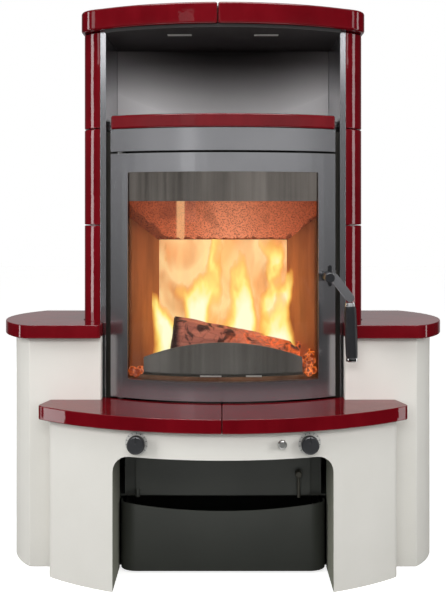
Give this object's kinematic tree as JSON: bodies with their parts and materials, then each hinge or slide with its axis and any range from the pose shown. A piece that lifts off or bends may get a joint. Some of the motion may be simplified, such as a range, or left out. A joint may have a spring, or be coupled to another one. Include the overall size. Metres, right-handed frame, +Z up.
{
  "type": "tiled wood stove",
  "caption": "Free-standing tiled wood stove with a bowed glass door, warming niche, side benches and a front bench arched over a wood drawer and an ash door.",
  "frame": {"origin": "on the floor, under the middle of the stove's overall width and depth", "axes": "+Z up, the door and benches face -Y, +X to the right of someone facing the door, on the handle's side"},
  "size_m": [1.164, 0.67, 1.425],
  "materials": {
    "glaze_red": "high-gloss oxblood glaze, slightly pooled at the edges",
    "plaster_cream": "matt fine mineral render",
    "steel_grey": "satin heat-proof grey paint",
    "steel_dark": "satin dark grey paint",
    "bare_steel": "plain satin steel",
    "cast_iron": "fine sand-cast skin",
    "fireclay": "fired clay, heat-stained",
    "filter_ceramic": "open-pored ceramic foam",
    "window_glass": "clear heat-proof glass",
    "chrome": "polished",
    "black_grip": "satin black heat-proof moulding",
    "rope_seal": "braided glass-fibre rope",
    "log_wood": "split beech, charred",
    "embers": "glowing charcoal and ash"
  },
  "bodies": {
    "root": {"front_bench_tile_left": "glaze_red", "front_bench_tile_right": "glaze_red", "side_bench_tile_left": "glaze_red", "side_bench_tile_right": "glaze_red", "column_tile_left_1": "glaze_red", "column_tile_left_2": "glaze_red", "column_tile_left_3": "glaze_red", "column_tile_right_1": "glaze_red", "column_tile_right_2": "glaze_red", "column_tile_right_3": "glaze_red", "cap_tile_left": "glaze_red", "cap_tile_right": "glaze_red", "shelf_tile": "glaze_red", "front_bench_body": "plaster_cream", "side_bench_body_left": "plaster_cream", "side_bench_body_right": "plaster_cream", "side_panel_left": "steel_grey", "side_panel_right": "steel_grey", "fascia": "steel_grey", "top_plate": "steel_grey", "niche_floor": "steel_dark", "niche_back": "steel_dark", "back_panel": "steel_dark", "base_plate": "steel_dark", "firebox_shell": "steel_dark", "ash_box": "steel_dark", "flue_spigot": "steel_dark", "smoke_baffle": "steel_dark", "fire_grate": "cast_iron", "log_guard": "cast_iron", "lining_left": "fireclay", "lining_right": "fireclay", "lining_back": "fireclay", "hearth_slab": "fireclay", "ceramic_filter": "filter_ceramic", "air_scale_left": "bare_steel", "air_scale_right": "bare_steel", "ash_pan": "bare_steel", "door_hinge_lower": "bare_steel", "door_hinge_upper": "bare_steel", "latch_keeper": "bare_steel", "firewood_log": "log_wood", "ember_bed": "embers"},
    "door": {"door_frame": "steel_grey", "door_glass": "window_glass", "glass_retainer": "bare_steel", "door_seal": "rope_seal", "handle_escutcheon": "black_grip"},
    "latch": {"latch_spindle": "black_grip", "handle_lever": "steel_grey", "handle_rod": "chrome", "handle_grip": "black_grip"},
    "primary_air": {"primary_air_knob": "black_grip"},
    "secondary_air": {"secondary_air_knob": "black_grip"},
    "grate_pull": {"grate_pull_knob": "bare_steel", "grate_pull_rod": "bare_steel"},
    "drawer": {"drawer_front": "steel_dark", "drawer_tub": "steel_dark"},
    "ash_door": {"ash_door": "steel_dark"},
    "ash_latch": {"ash_latch": "bare_steel"}
  },
  "joints": [
    {"name": "door_swing", "type": "hinge", "parent": "root", "child": "door", "pos_m": [-0.262, -0.05033, 0.74], "axis": [0, 0, -1], "range_deg": [0, 90]},
    {"name": "latch_turn", "type": "hinge", "parent": "door", "child": "latch", "pos_m": [0.266, -0.135, 0.74], "axis": [0, -1, 0], "range_deg": [0, 40]},
    {"name": "primary_air_turn", "type": "hinge", "parent": "root", "child": "primary_air", "pos_m": [-0.204, -0.29, 0.359], "axis": [0, -1, 0], "range_deg": [0, 180]},
    {"name": "secondary_air_turn", "type": "hinge", "parent": "root", "child": "secondary_air", "pos_m": [0.204, -0.29, 0.359], "axis": [0, -1, 0], "range_deg": [0, 180]},
    {"name": "grate_shake", "type": "slide", "parent": "root", "child": "grate_pull", "axis": [0, -1, 0], "range_m": [0, 0.05]},
    {"name": "drawer_slide", "type": "slide", "parent": "root", "child": "drawer", "axis": [0, -1, 0], "range_m": [0, 0.3]},
    {"name": "ash_door_swing", "type": "hinge", "parent": "root", "child": "ash_door", "pos_m": [-0.218, -0.073, 0.25], "axis": [0, 0, -1], "range_deg": [0, 90]},
    {"name": "ash_latch_turn", "type": "hinge", "parent": "ash_door", "child": "ash_latch", "pos_m": [0.192, -0.09, 0.238], "axis": [0, -1, 0], "range_deg": [0, 90]}
  ]
}
